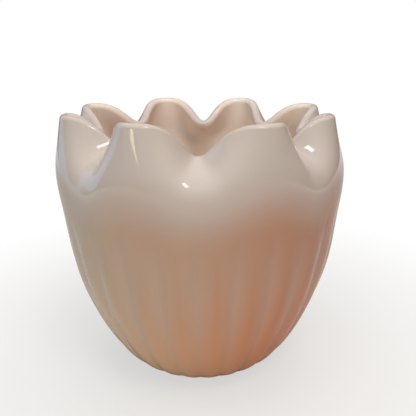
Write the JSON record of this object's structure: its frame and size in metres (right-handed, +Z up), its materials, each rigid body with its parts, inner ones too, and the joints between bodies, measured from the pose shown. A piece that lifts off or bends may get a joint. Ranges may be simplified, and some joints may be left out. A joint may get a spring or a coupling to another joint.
{
  "type": "rose bowl vase",
  "caption": "Low round flower vase of two fused glass layers, ribbed below, with a crimped rim that rolls in and a flat foot.",
  "frame": {"origin": "centre of the flat foot, on the face that it stands on", "axes": "+Z up through the mouth, -Y towards the notch that faces the front, +X to the right as seen from the front"},
  "size_m": [0.1226, 0.1228, 0.1194],
  "materials": {
    "pink_casing": "gloss",
    "opal_lining": "gloss"
  },
  "bodies": {
    "root": {"pink_casing": "pink_casing", "opal_lining": "opal_lining"}
  },
  "joints": []
}
